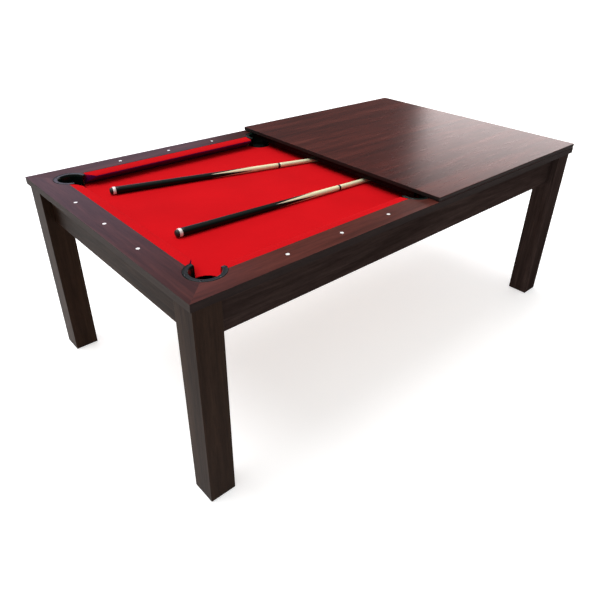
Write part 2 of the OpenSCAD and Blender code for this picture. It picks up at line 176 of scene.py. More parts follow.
def sweep(bm, rings, closed_sweep=False, caps=False, uv=None):
    """Joins closed rings of points into a skin. Each ring lists its points in the same order.
    uv(row, col) is the UV point of a ring's number and a point's number."""
    made = [[bm.verts.new(p) for p in ring] for ring in rings]
    count = len(made[0])
    last = len(made) if closed_sweep else len(made) - 1
    for i in range(last):
        a, b = made[i], made[(i + 1) % len(made)]
        for j in range(count):
            k = (j + 1) % count
            face = bm.faces.new((a[j], a[k], b[k], b[j]))
            if uv:
                layer = bm.loops.layers.uv.verify()
                corners = ((i, j), (i, j + 1), (i + 1, j + 1), (i + 1, j))
                for loop, (row, col) in zip(face.loops, corners):
                    loop[layer].uv = uv(row, col)
    if caps:
        bm.faces.new(list(reversed(made[0])))
        bm.faces.new(made[-1])
    return made


def bridge(bm, a, b, slots=False):
    """Faces between two rings of vertices. With slots, two faces in four are left open."""
    for i in range(len(a)):
        k = (i + 1) % len(a)
        if not (slots and i % 4 in (1, 2)):
            bm.faces.new((a[i], a[k], b[k], b[i]))


def polar(r, angle, z=0.0):
    return Vector((r * math.cos(angle), r * math.sin(angle), z))


def circle(r, z, steps):
    return [polar(r, 2 * math.pi * i / steps, z) for i in range(steps)]


def lathe(bm, profile, steps=64):
    """Turns a profile of (radius, height) points about +Z."""
    angles = [2 * math.pi * i / steps for i in range(steps)]
    return sweep(bm, [[polar(r, a, z) for r, z in profile] for a in angles], closed_sweep=True)


def rounded(points, radius, steps=3, closed=True):
    """Rounds the corners of a flat outline of (a, b) points."""
    out = []
    n = len(points)
    for i, point in enumerate(points):
        here = Vector(point)
        if not closed and i in (0, n - 1):
            out.append(tuple(here))
            continue
        before, after = Vector(points[i - 1]) - here, Vector(points[(i + 1) % n]) - here
        cut = min(radius, before.length * 0.45, after.length * 0.45)
        a, b = here + before.normalized() * cut, here + after.normalized() * cut
        for k in range(steps + 1):
            t = k / steps
            out.append(tuple((1 - t) ** 2 * a + 2 * t * (1 - t) * here + t ** 2 * b))
    return out


# ---------------- materials
def start_material(name):
    """A new material, its node tree and its shader."""
    mat = bpy.data.materials.new(name)
    mat.use_nodes = True
    tree = mat.node_tree
    return mat, tree, tree.nodes["Principled BSDF"]


def plug(tree, socket, value):
    """Sets a number or a colour on a socket, or links a node's output to it."""
    if isinstance(value, bpy.types.NodeSocket):
        tree.links.new(value, socket)
    elif socket.type == "RGBA":
        socket.default_value = (*value, 1)
    else:
        socket.default_value = value


def new_node(tree, kind, inputs, output):
    """A new node with values plugged into its inputs. Gives one of its outputs."""
    node = tree.nodes.new(kind)
    for name, value in inputs.items():
        plug(tree, node.inputs[name], value)
    return node.outputs[output]


def surface(tree, shader, values):
    """Plugs values into a shader's sockets, by name."""
    for name, value in values.items():
        plug(tree, shader.inputs[name], value)


def coordinates(tree, scale, source="Object"):
    coord = new_node(tree, "ShaderNodeTexCoord", {}, source)
    return new_node(tree, "ShaderNodeMapping", {"Vector": coord, "Scale": scale}, "Vector")


def noise(tree, vector, scale, detail=4.0, rough=0.55, distortion=0.0):
    values = {"Vector": vector, "Scale": scale, "Detail": detail, "Roughness": rough}
    return new_node(tree, "ShaderNodeTexNoise", {**values, "Distortion": distortion}, "Fac")


def ramp(tree, value, stops):
    node = tree.nodes.new("ShaderNodeValToRGB")
    element = node.color_ramp.elements
    while len(element) < len(stops):
        element.new(0.5)
    for e, (position, color) in zip(element, stops):
        e.position = position
        e.color = (*color, 1)
    tree.links.new(value, node.inputs["Fac"])
    return node.outputs["Color"]


def mix(tree, factor, a, b, blend="MIX"):
    node = tree.nodes.new("ShaderNodeMix")
    node.data_type = "RGBA"
    node.blend_type = blend
    for name, value in (("Factor", factor), ("A", a), ("B", b)):
        plug(tree, node.inputs[name], value)
    return node.outputs["Result"]


def spread(tree, value, low, high):
    """Maps a 0 to 1 value onto low to high."""
    values = {"Value": value, "To Min": low, "To Max": high}
    return new_node(tree, "ShaderNodeMapRange", values, "Result")


def bump(tree, shader, height, strength, distance):
    values = {"Height": height, "Strength": strength, "Distance": distance}
    plug(tree, shader.inputs["Normal"], new_node(tree, "ShaderNodeBump", values, "Normal"))


GRAIN_SCALE = {"x": (1.0, 14.0, 14.0), "y": (14.0, 1.0, 14.0), "z": (14.0, 14.0, 1.0)}


def facing_up(tree, full):
    """White where a face's normal points up by full or more, black where it stands upright."""
    normal = new_node(tree, "ShaderNodeNewGeometry", {}, "Normal")
    up = new_node(tree, "ShaderNodeSeparateXYZ", {"Vector": normal}, "Z")
    return ramp(tree, up, [(0.0, (0, 0, 0)), (full, (1, 1, 1))])


def wood(name, grain, dark, mid, light, rough=0.34, gloss=0.5, streak=0.5, pores=0.25, edge=None):
    """Foil-wrapped dark board: long soft figure, fine streaks and open pores along the grain.
    edge is a painted shade tone, with its roughness, for faces that don't look up."""
    mat, tree, shader = start_material(name)
    vector = coordinates(tree, GRAIN_SCALE[grain])
    figure = noise(tree, vector, scale=1.3, detail=5.0, rough=0.6, distortion=0.7)
    fine = noise(tree, vector, scale=9.0, detail=6.0, rough=0.65, distortion=0.2)
    pore = noise(tree, vector, scale=55.0, detail=3.0, rough=0.5)
    base = ramp(tree, figure, [(0.30, dark), (0.52, mid), (0.72, light)])
    stops = [(0.35, (0.55, 0.5, 0.5)), (0.5, (1, 1, 1)), (0.68, (1.45, 1.35, 1.3))]
    streaks = ramp(tree, fine, stops)
    color = mix(tree, streak, base, streaks, "MULTIPLY")
    specks = ramp(tree, pore, [(0.36, (0.35, 0.33, 0.33)), (0.47, (1, 1, 1))])
    color = mix(tree, pores, color, specks, "MULTIPLY")
    dull = spread(tree, fine, rough + 0.06, rough - 0.05)
    if edge is not None:
        tone, edge_rough = edge
        # faces that don't look up take the darker edge tone: painted shade
        up = facing_up(tree, 0.6)
        shaded_band = mix(tree, streak, tone, streaks, "MULTIPLY")
        color = mix(tree, up, shaded_band, color)
        dull = mix(tree, up, (edge_rough,) * 3, dull)
    surface(tree, shader, {"Base Color": color, "Roughness": dull, "Specular IOR Level": gloss})
    bump(tree, shader, pore, strength=0.12, distance=0.0004)
    return mat


def tinted(color, by):
    """A colour made darker or lighter by a factor."""
    return tuple(min(1.0, c * by) for c in color)


def cloth(name, color, under=None):
    """Napped wool cloth: fine weave, short even pile. under is a painted shade tone where it faces
    down.
    """
    mat, tree, shader = start_material(name)
    flat = coordinates(tree, (1, 1, 1))
    nap = noise(tree, flat, scale=900.0, detail=3.0, rough=0.7)
    across = coordinates(tree, (1, 5, 1))
    fibre = noise(tree, across, scale=420.0, detail=4.0, rough=0.6)
    cloud = noise(tree, flat, scale=5.0, detail=3.0, rough=0.5)
    shade = ramp(tree, nap, [(0.3, tinted(color, 0.82)), (0.7, tinted(color, 1.12))])
    tone = ramp(tree, cloud, [(0.3, (0.94, 0.94, 0.94)), (0.7, (1.04, 1.04, 1.04))])
    finished = mix(tree, 1.0, shade, tone, "MULTIPLY")
    # faces that look down take the under tone: painted shade
    if under:
        finished = mix(tree, facing_up(tree, 0.55), under, finished)
    surface(tree, shader, {
        "Base Color": finished, "Roughness": 0.9, "Specular IOR Level": 0.03, "Sheen Weight": 0.06,
        "Sheen Roughness": 0.5, "Sheen Tint": (1.0, 0.12, 0.12),
    })
    pile = mix(tree, 0.5, nap, fibre)
    bump(tree, shader, pile, strength=0.25, distance=0.0003)
    return mat


def plastic(name, color, rough, coat=0.0, grain=0.05, gloss=0.5):
    """Moulded plastic or rubber with a faint moulding texture and uneven gloss."""
    mat, tree, shader = start_material(name)
    vector = coordinates(tree, (1, 1, 1))
    texture = noise(tree, vector, scale=700.0, detail=3.0, rough=0.5)
    smear = noise(tree, vector, scale=14.0, detail=4.0, rough=0.6)
    tone = ramp(tree, smear, [(0.3, tinted(color, 0.85)), (0.7, tinted(color, 1.15))])
    surface(tree, shader, {
        "Base Color": tone, "Roughness": spread(tree, smear, rough - 0.04, rough + 0.06),
        "Specular IOR Level": gloss, "Coat Weight": coat, "Coat Roughness": 0.08,
    })
    bump(tree, shader, texture, strength=grain, distance=0.0002)
    return mat


def pearl(name):
    """Pearl inlay: pale swirls under a clear face."""
    mat, tree, shader = start_material(name)
    vector = coordinates(tree, (1, 1, 1))
    swirl = noise(tree, vector, scale=160.0, detail=4.0, rough=0.6, distortion=2.5)
    stops = [(0.3, (0.78, 0.76, 0.74)), (0.5, (0.95, 0.95, 0.93)), (0.7, (0.82, 0.86, 0.9))]
    surface(tree, shader, {
        "Base Color": ramp(tree, swirl, stops), "Roughness": spread(tree, swirl, 0.14, 0.26),
        "Coat Weight": 0.6,
    })
    bump(tree, shader, swirl, strength=0.05, distance=0.0002)
    return mat


def metal(name, color, rough):
    """Plated or blackened steel and brass: uneven gloss and fine scratches."""
    mat, tree, shader = start_material(name)
    vector = coordinates(tree, (1, 1, 1))
    patch = noise(tree, vector, scale=90.0, detail=4.0, rough=0.6)
    scratch = noise(tree, vector, scale=1200.0, detail=2.0, rough=0.5)
    tone = ramp(tree, patch, [(0.3, tinted(color, 0.8)), (0.7, tinted(color, 1.1))])
    surface(tree, shader, {
        "Base Color": tone, "Metallic": 1.0,
        "Roughness": spread(tree, patch, rough - 0.06, rough + 0.08),
    })
    bump(tree, shader, scratch, strength=0.08, distance=0.0001)
    return mat


def fibreboard(name):
    """Raw board seen from below: matted fibres and darker specks."""
    mat, tree, shader = start_material(name)
    vector = coordinates(tree, (1, 1, 1))
    speck = noise(tree, vector, scale=380.0, detail=5.0, rough=0.7)
    tone = noise(tree, vector, scale=6.0, detail=4.0, rough=0.6)
    stops = [(0.3, (0.19, 0.12, 0.07)), (0.55, (0.36, 0.25, 0.15)), (0.75, (0.45, 0.33, 0.21))]
    base = ramp(tree, speck, stops)
    shade = ramp(tree, tone, [(0.3, (0.85, 0.85, 0.85)), (0.7, (1.08, 1.08, 1.08))])
    surface(tree, shader, {"Base Color": mix(tree, 1.0, base, shade, "MULTIPLY"), "Roughness": 0.85})
    bump(tree, shader, speck, strength=0.3, distance=0.0003)
    return mat


def softwood(name):
    """Planed beams: warm pale rings along Y."""
    mat, tree, shader = start_material(name)
    vector = coordinates(tree, (18, 1.2, 18))
    ring = noise(tree, vector, scale=2.2, detail=5.0, rough=0.6, distortion=1.2)
    line = noise(tree, vector, scale=22.0, detail=4.0, rough=0.6)
    stops = [(0.3, (0.38, 0.22, 0.10)), (0.5, (0.58, 0.38, 0.20)), (0.7, (0.66, 0.47, 0.27))]
    base = ramp(tree, ring, stops)
    fine = ramp(tree, line, [(0.3, (0.8, 0.78, 0.75)), (0.6, (1.05, 1.05, 1.05))])
    surface(tree, shader, {"Base Color": mix(tree, 0.7, base, fine, "MULTIPLY"), "Roughness": 0.6})
    bump(tree, shader, line, strength=0.2, distance=0.0003)
    return mat


def maple_color(tree):
    """Pale straight maple along the cue, in the lathe's own UV: u round the cue, v along it."""
    vector = coordinates(tree, (26, 3, 1), "UV")
    line = noise(tree, vector, scale=6.0, detail=5.0, rough=0.6, distortion=0.3)
    short = coordinates(tree, (60, 40, 1), "UV")
    fleck = noise(tree, short, scale=9.0, detail=2.0, rough=0.5)
    stops = [(0.3, (0.76, 0.71, 0.41)), (0.5, (0.88, 0.87, 0.55)), (0.7, (0.93, 0.93, 0.67))]
    base = ramp(tree, line, stops)
    tick = ramp(tree, fleck, [(0.3, (0.88, 0.86, 0.82)), (0.55, (1, 1, 1))])
    return mix(tree, 0.5, base, tick, "MULTIPLY"), line


def cue_maple(name):
    """Maple shaft under clear lacquer."""
    mat, tree, shader = start_material(name)
    color, line = maple_color(tree)
    surface(tree, shader, {
        "Base Color": color, "Roughness": spread(tree, line, 0.22, 0.34), "Coat Weight": 0.5,
        "Coat Roughness": 0.1,
    })
    return mat


# the butt's spliced points: how many, where their notches are from the butt end, their length and
# the width of the pale veneer along them, in metres
POINTS = 4
POINT_START = 0.41
POINT_LENGTH = 0.20
POINT_VENEER = 0.012


def math_node(tree, operation, *values):
    node = tree.nodes.new("ShaderNodeMath")
    node.operation = operation
    for socket, value in zip(node.inputs, values):
        plug(tree, socket, value)
    return node.outputs[0]


def cue_butt(name):
    """Black lacquered butt whose colour ends in long spliced points on the maple forearm.
    v of the UV map is the distance from the butt end in metres."""
    mat, tree, shader = start_material(name)
    maple, line = maple_color(tree)
    uv = new_node(tree, "ShaderNodeTexCoord", {}, "UV")
    round_cue = new_node(tree, "ShaderNodeSeparateXYZ", {"Vector": uv}, "X")
    along_cue = new_node(tree, "ShaderNodeSeparateXYZ", {"Vector": uv}, "Y")
    round_u = math_node(tree, "MULTIPLY", round_cue, float(POINTS))
    wave = math_node(tree, "PINGPONG", round_u, 0.5)
    point_end = POINT_START + POINT_LENGTH
    height = math_node(tree, "MULTIPLY_ADD", wave, -2 * POINT_LENGTH, point_end)
    black = math_node(tree, "LESS_THAN", along_cue, height)
    veneer_top = math_node(tree, "ADD", height, POINT_VENEER)
    veneer = math_node(tree, "LESS_THAN", along_cue, veneer_top)
    edge = mix(tree, veneer, maple, (0.90, 0.88, 0.68))
    surface(tree, shader, {
        "Base Color": mix(tree, black, edge, (0.0015, 0.0045, 0.0030)),
        "Roughness": spread(tree, line, 0.24, 0.34), "Specular IOR Level": 0.16, "Coat Weight": 0.04,
        "Coat Roughness": 0.08,
    })
    return mat


# three tones of each wood, from dark to light; EDGE values are a painted shade tone for faces that
# don't look up, and its roughness
SIDE_DARK = ((0.014, 0.0068, 0.0040), (0.025, 0.0128, 0.0078), (0.043, 0.024, 0.015))
# a lighter, greyer copy of the side wood with no gloss, for the front and back aprons and the
# right-hand legs: its tone is painted light for those faces
SIDE_MATT_LIT = ((0.018, 0.0115, 0.0100), (0.029, 0.0190, 0.0168), (0.046, 0.031, 0.0275))
# the rail wood's tones made lighter and redder for the front rail: painted light
RAIL_FRONT_LIT = ((0.050, 0.0120, 0.0082), (0.085, 0.0205, 0.0148), (0.130, 0.037, 0.028))
RAIL_DARK = ((0.025, 0.0062, 0.0048), (0.042, 0.0110, 0.0085), (0.070, 0.020, 0.0155))
EDGE_SHADE_FRONT = ((0.017, 0.0100, 0.0088), 0.85)
EDGE_SHADE_SIDE = ((0.026, 0.0150, 0.0110), 0.60)
TOP_DARK = ((0.031, 0.0048, 0.0032), (0.060, 0.0097, 0.0066), (0.098, 0.020, 0.0138))

MATERIALS = {
    "leg_left": wood("wood_leg_left", "z", *SIDE_DARK, rough=0.42, gloss=0.03),
    "leg_right": wood("wood_leg_right", "z", *SIDE_MATT_LIT, rough=0.42, gloss=0.0),
    "apron_x": wood("wood_apron_x", "x", *SIDE_MATT_LIT, rough=0.42, gloss=0.0),
    "apron_y": wood("wood_apron_y", "y", *SIDE_DARK, rough=0.42, gloss=0.03),
    "rail_front": wood("wood_rail_front", "x", *RAIL_FRONT_LIT, gloss=0.12, edge=EDGE_SHADE_FRONT),
    "rail_back": wood("wood_rail_back", "x", *RAIL_DARK, gloss=0.08, edge=EDGE_SHADE_FRONT),
    "rail_y": wood("wood_rail_y", "y", *RAIL_DARK, gloss=0.12, edge=EDGE_SHADE_SIDE),
    "top": wood("wood_top", "x", *TOP_DARK, rough=0.28, gloss=0.2, streak=0.7, edge=EDGE_SHADE_FRONT),
    "cleat": wood("black_cleat", "x", (0.003,) * 3, (0.005,) * 3, (0.009,) * 3, gloss=0.05),
    "board": fibreboard("fibreboard"),
    "beam": softwood("softwood"),
    "cloth": cloth("red_cloth", (0.56, 0.0045, 0.0080)),
    # the cushion cloth is painted a dark purple shade where it faces down
    "cushion": cloth("cushion_cloth", (0.56, 0.0045, 0.0080), (0.085, 0.009, 0.115)),
    "liner": plastic("pocket_plastic", (0.005, 0.0105, 0.0085), 0.24, 0.03, gloss=0.14),
    "basket": plastic("basket_plastic", (0.016, 0.016, 0.018), 0.5, 0.0, 0.15),
    "pearl": pearl("pearl"),
    "rubber": plastic("rubber", (0.014, 0.014, 0.014), 0.62, 0.0, 0.2),
    "white": plastic("white_plastic", (0.86, 0.85, 0.81), 0.22, 0.4),
    "collar": plastic("collar_plastic", (0.012, 0.012, 0.013), 0.2, 0.5),
    "steel": metal("zinc_steel", (0.60, 0.60, 0.60), 0.32),
    "brass": metal("brass", (0.72, 0.50, 0.20), 0.30),
    "screw": metal("black_steel", (0.055, 0.055, 0.06), 0.35),
    "butt": cue_butt("cue_butt"),
    "maple": cue_maple("cue_maple"),
    "tip": plastic("cue_leather", (0.06, 0.14, 0.26), 0.85, 0.0, 0.5),
}


# ---------------- carried-over CAD nodes
def carry_nodes():
    """CAD nodes whose shape is right: rounded edges and a finished material."""
    # the right-hand legs and the front and back aprons take the lighter, greyer copy of the side wood:
    # painted light
    for corner in CORNERS:
        dress(bevel(NODES["leg_" + corner], 1.5 * MM, 3), MATERIALS["leg_" + corner.split("_")[1]])
    for side in ("front", "back"):
        dress(bevel(NODES["apron_" + side], 1.2 * MM), MATERIALS["apron_x"])
        # the front rail's wood is a lighter copy of the other rails' wood: painted light
        dress(bevel(NODES["rail_" + side], 1.4 * MM, 3), MATERIALS["rail_" + side])
    for side in ("left", "right"):
        dress(bevel(NODES["apron_" + side], 1.2 * MM), MATERIALS["apron_y"])
        dress(bevel(NODES["rail_" + side], 1.4 * MM, 3), MATERIALS["rail_y"])
    dress(bevel(NODES["cover_panel"], 1.2 * MM, 3), MATERIALS["top"])
    dress(bevel(NODES["cover_cleats"], 1.0 * MM), MATERIALS["cleat"])
    dress(bevel(NODES["cover_spacers"], 0.4 * MM), MATERIALS["rubber"])
    dress(bevel(NODES["bed_board"], 0.6 * MM), MATERIALS["board"])
    dress(bevel(NODES["bed_timbers"], 1.0 * MM), MATERIALS["beam"])
    dress(bevel(NODES["leg_inserts"], 0.4 * MM), MATERIALS["brass"])
    dress(bevel(NODES["corner_brackets"], 0.8 * MM), MATERIALS["steel"])


# ---------------- cushions
# section of a cushion in millimetres: depth behind the nose, top and underside above the nose line
CUSHION_SECTION = [
    (0.0, 1.0, -2.2), (0.3, 1.9, -3.1), (0.9, 2.7, -4.0), (2.0, 3.3, -5.1), (4.5, 4.2, -7.6),
    (8.0, 5.3, -10.4), (14.0, 6.5, -15.0), (20.0, 7.4, -19.4), (26.0, 8.1, -23.6), (31.0, 8.6, -27.0),
    (35.0, 8.9, -30.4), (38.0, 9.1, -34.4), (41.0, 9.3, -35.4), (42.4, 9.2, -35.4), (43.0, 8.8, -35.0),
]
SECTION_DEPTH = CUSHION_SECTION[-1][0]
CORNER_MOUTH = 82 * MM
SIDE_MOUTH = 66 * MM
CORNER_SLOPE = 1 / math.tan(math.radians(40))
SIDE_SLOPE = 1 / math.tan(math.radians(76))
RIM_CLEAR = RIM_R + 0.7 * MM
# how far from its ends a cushion has rings, and how much each ring is drawn in, in millimetres
DRAW_UPRIGHT = 0.7
MIDDLE_RINGS = (0.15, 0.3, 0.5, 0.7, 0.85)
END_RINGS = [(0.0, 1.3), (0.35, 0.6), (1.0, 0.15), (2.2, 0.0), (8.0, 0.0), (30.0, 0.0)]


def cushion_rings(ends, depth, along, nose):
    """Rings from end to end. Each runs over the top from the nose and back under it."""
    lengths = [(at, draw, "from_low") for at, draw in END_RINGS]
    lengths += [(part, 0.0, "between") for part in MIDDLE_RINGS]
    lengths += [(at, draw, "from_high") for at, draw in reversed(END_RINGS)]
    count = len(CUSHION_SECTION)
    for at, draw, kind in lengths:
        top, under = [], []
        for i, (u, high, low) in enumerate(CUSHION_SECTION):
            deep = u / SECTION_DEPTH * depth
            lo, hi = ends(deep)
            where = {"from_low": lo + at * MM, "from_high": hi - at * MM,
                     "between": lo + (hi - lo) * at}
            ease = draw * (1 - i / (count - 1) * 2)
            spot = along(where[kind]) + nose(deep + ease * MM)
            top.append(spot + Vector((0, 0, NOSE_Z + (high - draw * DRAW_UPRIGHT) * MM)))
            under.append(spot + Vector((0, 0, NOSE_Z + (low + draw * DRAW_UPRIGHT) * MM)))
        yield top + under[::-1]


def cushion(name, ends, depth, along, nose):
    """A rubber cushion under cloth. ends(u) gives where it starts and stops at depth u behind its
    nose; along and nose map the distance along it, and the depth, onto the table."""
    bm = bmesh.new()
    rings = sweep(bm, list(cushion_rings(ends, depth, along, nose)))
    for ring in (rings[0], rings[-1]):
        for i in range(len(CUSHION_SECTION) - 1):
            bm.faces.new((ring[i], ring[i + 1], ring[-2 - i], ring[-1 - i]))
    obj = finish_mesh("cloth_" + name, bm, 50)
    place(obj, "table", [name], MATERIALS["cushion"], "red_cloth")


def corner_end(u, nose_reach, centre_along, centre_depth):
    """How far a cushion runs towards a corner pocket at depth u: its facing, cut by the rim."""
    facing = nose_reach + u * CORNER_SLOPE
    inside = RIM_CLEAR ** 2 - (u - centre_depth) ** 2
    return min(facing, centre_along - math.sqrt(max(inside, 0)))


def side_end(u):
    """How near the side pocket's middle a cushion starts at depth u: its facing, cut by the rim."""
    facing = SIDE_MOUTH - u * SIDE_SLOPE
    inside = RIM_CLEAR ** 2 - (NOSE_Y + u - SIDE_Y) ** 2
    return max(facing, math.sqrt(max(inside, 0)))


def long_ends(u):
    """A long side's cushion runs from a side pocket to a corner pocket."""
    return side_end(u), corner_end(u, NOSE_X - CORNER_MOUTH, CORNER_X, CORNER_Y - NOSE_Y)


def short_ends(u):
    """An end cushion runs from corner pocket to corner pocket."""
    reach = corner_end(u, NOSE_Y - CORNER_MOUTH, CORNER_Y, CORNER_X - NOSE_X)
    return -reach, reach


def make_cushions():
    for sy, row in ((-1, "front"), (1, "back")):
        for sx, column in ((-1, "left"), (1, "right")):
            cushion(
                f"cushion_{row}_{column}", long_ends, CAP_Y - NOSE_Y,
                lambda s, sx=sx: Vector((sx * s, 0, 0)),
                lambda u, sy=sy: Vector((0, sy * (NOSE_Y + u), 0)),
            )
    for sx, column in ((-1, "left"), (1, "right")):
        cushion(
            f"cushion_{column}", short_ends, CAP_X - NOSE_X,
            lambda s: Vector((0, s, 0)),
            lambda u, sx=sx: Vector((sx * (NOSE_X + u), 0, 0)),
        )


# ---------------- bed cloth
LEG_CLEAR = 1 * MM
CLOTH_EDGE = 0.3 * MM


def arc_points(cx, cy, r, a0, a1, steps):
    angles = [a0 + (a1 - a0) * i / steps for i in range(steps + 1)]
    return [(cx + r * math.cos(a), cy + r * math.sin(a)) for a in angles]


def cloth_outline(half_x, half_y):
    """Outline of the bed cloth, anticlockwise: one quarter with its pocket arcs, mirrored."""
    leg_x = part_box("leg_back_right")[0].x - LEG_CLEAR
    leg_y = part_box("leg_back_right")[0].y - LEG_CLEAR
    corner_gap_x = CORNER_X + math.sqrt(HOLE_R ** 2 - (leg_y - CORNER_Y) ** 2)
    corner_gap_y = CORNER_Y + math.sqrt(HOLE_R ** 2 - (leg_x - CORNER_X) ** 2)
    a_start = math.atan2(leg_y - CORNER_Y, corner_gap_x - CORNER_X)
    a_end = math.atan2(corner_gap_y - CORNER_Y, leg_x - CORNER_X)
    quarter = [(half_x, 0), (half_x, leg_y)]
    quarter += arc_points(CORNER_X, CORNER_Y, HOLE_R, a_start, a_end - 2 * math.pi, 40)
    quarter += [(leg_x, half_y), (HOLE_R, half_y)]
    quarter += arc_points(0, SIDE_Y, HOLE_R, 0, -math.pi / 2, 24)
    outline = list(quarter)
    outline += [(-x, y) for x, y in reversed(quarter[:-1])]
    outline += [(-x, -y) for x, y in quarter[1:]]
    outline += [(x, -y) for x, y in reversed(quarter[1:-1])]
    return outline


def bed_cloth():
    """The stretched bed cloth: one skin with six pocket cut-outs, its edges turned down."""
    half_x, half_y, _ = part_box("bed_cloth")[1]
    outline = cloth_outline(half_x, half_y)
    bm = bmesh.new()
    low = [bm.verts.new((x, y, BOARD_TOP)) for x, y in outline]
    mid = [bm.verts.new((x, y, BED_TOP - CLOTH_EDGE)) for x, y in outline]
    high = []
    for x, y in outline:
        inward = -Vector((x, y)).normalized() * CLOTH_EDGE
        high.append(bm.verts.new((x + inward.x, y + inward.y, BED_TOP)))
    bridge(bm, low, mid)
    bridge(bm, mid, high)
    bm.faces.new(high)
    bm.faces.new(list(reversed(low)))
    bmesh.ops.triangulate(bm, faces=[f for f in bm.faces if len(f.verts) > 4])
    obj = finish_mesh("cloth_bed", bm, 40)
    place(obj, "table", ["bed_cloth"], MATERIALS["cloth"], "red_cloth")
    edges = zip(outline, outline[1:] + outline[:1])
    area = sum(x0 * y1 - x1 * y0 for (x0, y0), (x1, y1) in edges) / 2


# ---------------- pockets
def turned(x, y, angle):
    """Moves a thing made about the origin, facing +X, to a pocket."""
    return Matrix.Translation((x, y, 0)) @ Matrix.Rotation(angle, 4, "Z")


# section of the liner's wall and rim in millimetres: (from a radius, by), (from a height, by)
LINER_SECTION = [
    (THROAT_R, 0.6, BED_TOP, -5.0), (NECK_R, -0.6, BED_TOP, -5.0), (NECK_R, -0.6, BED_TOP, 0.2),
    (WALL_R, 0.0, BED_TOP, 0.2), (WALL_R, 0.0, RIM_TOP, -10.0), (RIM_R, 0.0, RIM_TOP, -10.0),
    (RIM_R, 0.0, RIM_TOP, -2.6), (RIM_R, -1.6, RIM_TOP, -0.4), (RIM_R, -3.4, RIM_TOP, -0.4),
    (RIM_R, -4.6, RIM_TOP, -1.4), (WALL_R, 1.5, RIM_TOP, -1.2), (WALL_R, -0.5, RIM_TOP, -1.6),
    (THROAT_R, 2.2, RIM_TOP, -4.6), (THROAT_R, 0.6, RIM_TOP, -10.0),
]
LINER_STEPS = 72
FLUTES = 24
FLUTE_DEPTH = 0.35 * MM
# how much of its size the liner's section keeps at its very ends, ring by ring
LINER_TIPS = (0.35, 0.7, 0.92)


def liner_profile():
    points = [(r + dr * MM, z + dz * MM) for r, dr, z, dz in LINER_SECTION]
    return rounded(points, 1.1 * MM)


def pocket_liner(pocket):
    """Moulded liner: an open rim with a raised outer bead, a wall with soft flutes, and a neck."""
    x, y, away = POCKETS[pocket]
    span = SIDE_SPAN if "side" in pocket else CORNER_SPAN
    profile = liner_profile()
    z_mid = (BED_TOP + RIM_TOP) / 2
    rings = []
    for i in range(LINER_STEPS + 1):
        angle = -span + 2 * span * i / LINER_STEPS
        near = min(i, LINER_STEPS - i)
        flute = FLUTE_DEPTH * math.cos(angle * FLUTES)
        shrink = LINER_TIPS[near] if near < len(LINER_TIPS) else 1.0
        ring = []
        for r, z in profile:
            if r < WALL_R - 2 * MM and z < RIM_TOP - 9 * MM and z > BED_TOP:
                r += flute
            if shrink < 1.0 and z > BED_TOP:
                r = WALL_R + (r - WALL_R) * (0.55 + 0.45 * shrink)
                z = z_mid + (z - z_mid) * (0.93 + 0.07 * shrink)
            ring.append(polar(r, angle, z))
        rings.append(ring)
    bm = bmesh.new()
    sweep(bm, rings, caps=True)
    neck_top = BED_TOP - 1 * MM
    neck = [(THROAT_R, NECK_BOTTOM), (NECK_R, NECK_BOTTOM), (NECK_R, neck_top), (THROAT_R, neck_top)]
    lathe(bm, rounded(neck, 0.9 * MM), steps=96)
    bmesh.ops.transform(bm, matrix=turned(x, y, away), verts=bm.verts)
    obj = finish_mesh("moulded_liner_" + pocket, bm, 45)
    place(obj, "table", ["liner_" + pocket], MATERIALS["liner"], "pocket_plastic")


BASKET_STEPS = 48
# heights of a basket's rings, in millimetres above its bottom, and the runs of rings with slots
BASKET_LEVELS = (0, 3, 7, 12, 17, 24, 31, 38, 44, 50, 56, 62, 67, 72, 79)
SLOT_BANDS = ((3, 7), (8, 10))
TAPER_LOW, TAPER_HIGH = 698 * MM, BOARD_BOTTOM - 12 * MM
BOTTOM_ROUND = 16 * MM
BOTTOM_DRAW = 14 * MM
BASKET_WALL = 2.6 * MM
BASKET_CLEAR = 0.2 * MM


def basket_radius(z):
    """Outer radius of a ball basket at height z: collar, taper, bowl, rounded bottom."""
    if z >= TAPER_HIGH:
        return COLLAR_R
    if z >= TAPER_LOW:
        return BOWL_R + (COLLAR_R - BOWL_R) * (z - TAPER_LOW) / (TAPER_HIGH - TAPER_LOW)
    round_top = BASKET_BOTTOM + BOTTOM_ROUND
    if z >= round_top:
        return BOWL_R
    t = (round_top - z) / (round_top - BASKET_BOTTOM)
    return BOWL_R - BOTTOM_DRAW * (1 - math.sqrt(max(0.0, 1 - t * t)))


